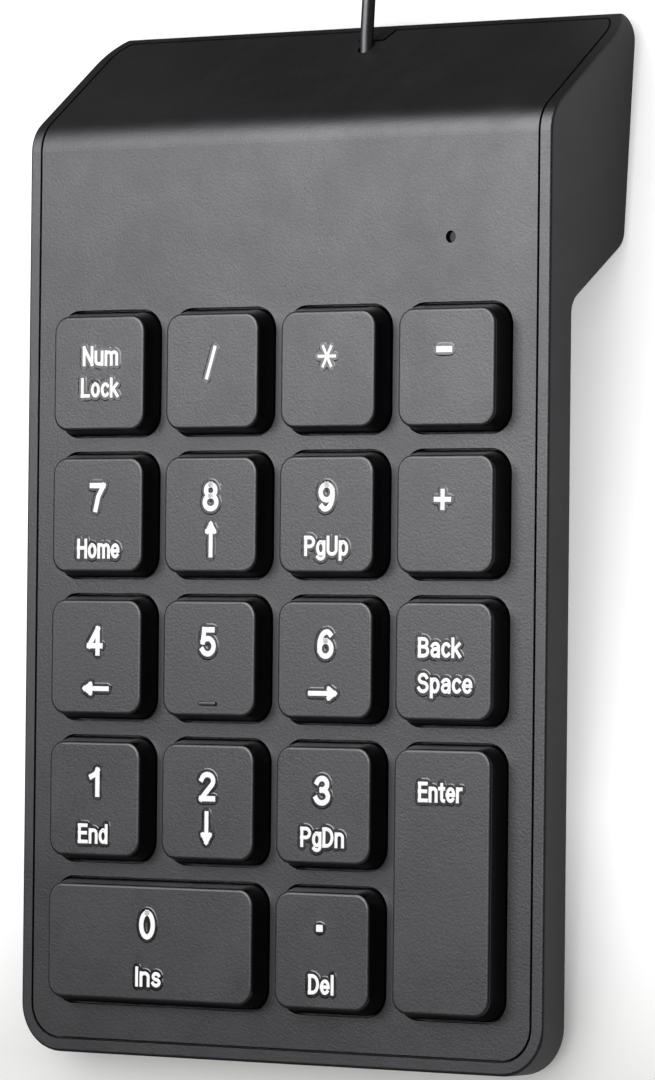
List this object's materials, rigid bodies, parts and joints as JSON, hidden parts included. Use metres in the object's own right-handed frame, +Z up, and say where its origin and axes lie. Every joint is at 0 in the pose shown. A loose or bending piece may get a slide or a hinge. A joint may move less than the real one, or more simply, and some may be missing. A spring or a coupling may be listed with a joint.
{
  "type": "numeric keypad",
  "caption": "Low wired numeric keypad with square keys, a thin slab and a deeper rear block, with a wound cord and plug.",
  "frame": {"origin": "on the desk under the middle of the case", "axes": "+X to the right of the user, +Y to the rear where the cord leaves, +Z up"},
  "size_m": [0.0943, 0.1938, 0.0198],
  "materials": {
    "case_plastic": "fine spark-eroded grain, dark charcoal",
    "key_plastic": "fine grain, dark charcoal, polished flanks",
    "spring_steel": "drawn wire",
    "silicone": "translucent pale grey",
    "film": "clear polyester film",
    "board": "green solder mask",
    "chip_black": "moulded epoxy",
    "ceramic": "sintered ceramic",
    "led_white": "white moulding",
    "lens": "dark smoked, polished",
    "steel": "zinc plated",
    "connector_white": "natural nylon",
    "core_insulation": "coloured core insulation",
    "cord_jacket": "smooth black PVC",
    "tie_plastic": "soft black band",
    "foot_rubber": "matt",
    "plug_metal": "nickel plated",
    "plug_insulator": "white",
    "gold": "gold flash"
  },
  "bodies": {
    "case": {"top_cover": "case_plastic", "bottom_case": "case_plastic", "dome_sheet": "silicone", "membrane_lower": "film", "membrane_spacer": "film", "membrane_upper": "film", "controller_board": "board", "controller_chip": "chip_black", "capacitors": "ceramic", "resistors": "ceramic", "status_led": "led_white", "led_lens": "lens", "membrane_clamp": "steel", "clamp_screws": "steel", "board_screws": "steel", "case_screws": "steel", "cable_connector": "connector_white", "cable_cores": "core_insulation", "cable_inner": "cord_jacket", "cable_strain_relief": "cord_jacket", "usb_cord_lead": "cord_jacket", "usb_cord_coil": "cord_jacket", "usb_cord_tail": "cord_jacket", "usb_plug_body": "cord_jacket", "cable_tie": "tie_plastic", "foot_front_left": "foot_rubber", "foot_front_right": "foot_rubber", "foot_rear_left": "foot_rubber", "foot_rear_right": "foot_rubber", "usb_plug_shell": "plug_metal", "usb_plug_insert": "plug_insulator", "usb_plug_contacts": "gold"},
    "key_num_lock": {"key_num_lock": "key_plastic"},
    "key_divide": {"key_divide": "key_plastic"},
    "key_multiply": {"key_multiply": "key_plastic"},
    "key_subtract": {"key_subtract": "key_plastic"},
    "key_7": {"key_7": "key_plastic"},
    "key_8": {"key_8": "key_plastic"},
    "key_9": {"key_9": "key_plastic"},
    "key_add": {"key_add": "key_plastic"},
    "key_4": {"key_4": "key_plastic"},
    "key_5": {"key_5": "key_plastic"},
    "key_6": {"key_6": "key_plastic"},
    "key_backspace": {"key_backspace": "key_plastic"},
    "key_1": {"key_1": "key_plastic"},
    "key_2": {"key_2": "key_plastic"},
    "key_3": {"key_3": "key_plastic"},
    "key_enter": {"key_enter": "key_plastic"},
    "key_0": {"key_0": "key_plastic"},
    "key_decimal": {"key_decimal": "key_plastic"},
    "stabiliser_0": {"stabiliser_0": "spring_steel"},
    "stabiliser_enter": {"stabiliser_enter": "spring_steel"}
  },
  "joints": [
    {"name": "key_num_lock_press", "type": "slide", "parent": "case", "child": "key_num_lock", "axis": [0, 0.1045, -0.9945], "range_m": [0, 0.0017], "stiffness_N_per_m": 220, "springref_m": -0.0006, "deforming": ["dome_sheet"]},
    {"name": "key_divide_press", "type": "slide", "parent": "case", "child": "key_divide", "axis": [0, 0.1045, -0.9945], "range_m": [0, 0.0017], "stiffness_N_per_m": 220, "springref_m": -0.0006, "deforming": ["dome_sheet"]},
    {"name": "key_multiply_press", "type": "slide", "parent": "case", "child": "key_multiply", "axis": [0, 0.1045, -0.9945], "range_m": [0, 0.0017], "stiffness_N_per_m": 220, "springref_m": -0.0006, "deforming": ["dome_sheet"]},
    {"name": "key_subtract_press", "type": "slide", "parent": "case", "child": "key_subtract", "axis": [0, 0.1045, -0.9945], "range_m": [0, 0.0017], "stiffness_N_per_m": 220, "springref_m": -0.0006, "deforming": ["dome_sheet"]},
    {"name": "key_7_press", "type": "slide", "parent": "case", "child": "key_7", "axis": [0, 0.1045, -0.9945], "range_m": [0, 0.0017], "stiffness_N_per_m": 220, "springref_m": -0.0006, "deforming": ["dome_sheet"]},
    {"name": "key_8_press", "type": "slide", "parent": "case", "child": "key_8", "axis": [0, 0.1045, -0.9945], "range_m": [0, 0.0017], "stiffness_N_per_m": 220, "springref_m": -0.0006, "deforming": ["dome_sheet"]},
    {"name": "key_9_press", "type": "slide", "parent": "case", "child": "key_9", "axis": [0, 0.1045, -0.9945], "range_m": [0, 0.0017], "stiffness_N_per_m": 220, "springref_m": -0.0006, "deforming": ["dome_sheet"]},
    {"name": "key_add_press", "type": "slide", "parent": "case", "child": "key_add", "axis": [0, 0.1045, -0.9945], "range_m": [0, 0.0017], "stiffness_N_per_m": 220, "springref_m": -0.0006, "deforming": ["dome_sheet"]},
    {"name": "key_4_press", "type": "slide", "parent": "case", "child": "key_4", "axis": [0, 0.1045, -0.9945], "range_m": [0, 0.0017], "stiffness_N_per_m": 220, "springref_m": -0.0006, "deforming": ["dome_sheet"]},
    {"name": "key_5_press", "type": "slide", "parent": "case", "child": "key_5", "axis": [0, 0.1045, -0.9945], "range_m": [0, 0.0017], "stiffness_N_per_m": 220, "springref_m": -0.0006, "deforming": ["dome_sheet"]},
    {"name": "key_6_press", "type": "slide", "parent": "case", "child": "key_6", "axis": [0, 0.1045, -0.9945], "range_m": [0, 0.0017], "stiffness_N_per_m": 220, "springref_m": -0.0006, "deforming": ["dome_sheet"]},
    {"name": "key_backspace_press", "type": "slide", "parent": "case", "child": "key_backspace", "axis": [0, 0.1045, -0.9945], "range_m": [0, 0.0017], "stiffness_N_per_m": 220, "springref_m": -0.0006, "deforming": ["dome_sheet"]},
    {"name": "key_1_press", "type": "slide", "parent": "case", "child": "key_1", "axis": [0, 0.1045, -0.9945], "range_m": [0, 0.0017], "stiffness_N_per_m": 220, "springref_m": -0.0006, "deforming": ["dome_sheet"]},
    {"name": "key_2_press", "type": "slide", "parent": "case", "child": "key_2", "axis": [0, 0.1045, -0.9945], "range_m": [0, 0.0017], "stiffness_N_per_m": 220, "springref_m": -0.0006, "deforming": ["dome_sheet"]},
    {"name": "key_3_press", "type": "slide", "parent": "case", "child": "key_3", "axis": [0, 0.1045, -0.9945], "range_m": [0, 0.0017], "stiffness_N_per_m": 220, "springref_m": -0.0006, "deforming": ["dome_sheet"]},
    {"name": "key_enter_press", "type": "slide", "parent": "case", "child": "key_enter", "axis": [0, 0.1045, -0.9945], "range_m": [0, 0.0017], "stiffness_N_per_m": 220, "springref_m": -0.0006, "deforming": ["dome_sheet"]},
    {"name": "key_0_press", "type": "slide", "parent": "case", "child": "key_0", "axis": [0, 0.1045, -0.9945], "range_m": [0, 0.0017], "stiffness_N_per_m": 220, "springref_m": -0.0006, "deforming": ["dome_sheet"]},
    {"name": "key_decimal_press", "type": "slide", "parent": "case", "child": "key_decimal", "axis": [0, 0.1045, -0.9945], "range_m": [0, 0.0017], "stiffness_N_per_m": 220, "springref_m": -0.0006, "deforming": ["dome_sheet"]},
    {"name": "stabiliser_0_swing", "type": "hinge", "parent": "case", "child": "stabiliser_0", "pos_m": [-0.019, -0.06056, 0.00602], "axis": [1, 0, 0], "range_deg": [-11.04, 0]},
    {"name": "stabiliser_enter_swing", "type": "hinge", "parent": "case", "child": "stabiliser_enter", "pos_m": [0.0344, -0.04524, 0.00763], "axis": [0, 0.9945, 0.1045], "range_deg": [-11.04, 0]}
  ],
  "couplings": [
    {"joint": "stabiliser_0_swing", "follows": "key_0_press", "rad_per_m": -111.28},
    {"joint": "stabiliser_enter_swing", "follows": "key_enter_press", "rad_per_m": -111.28}
  ]
}
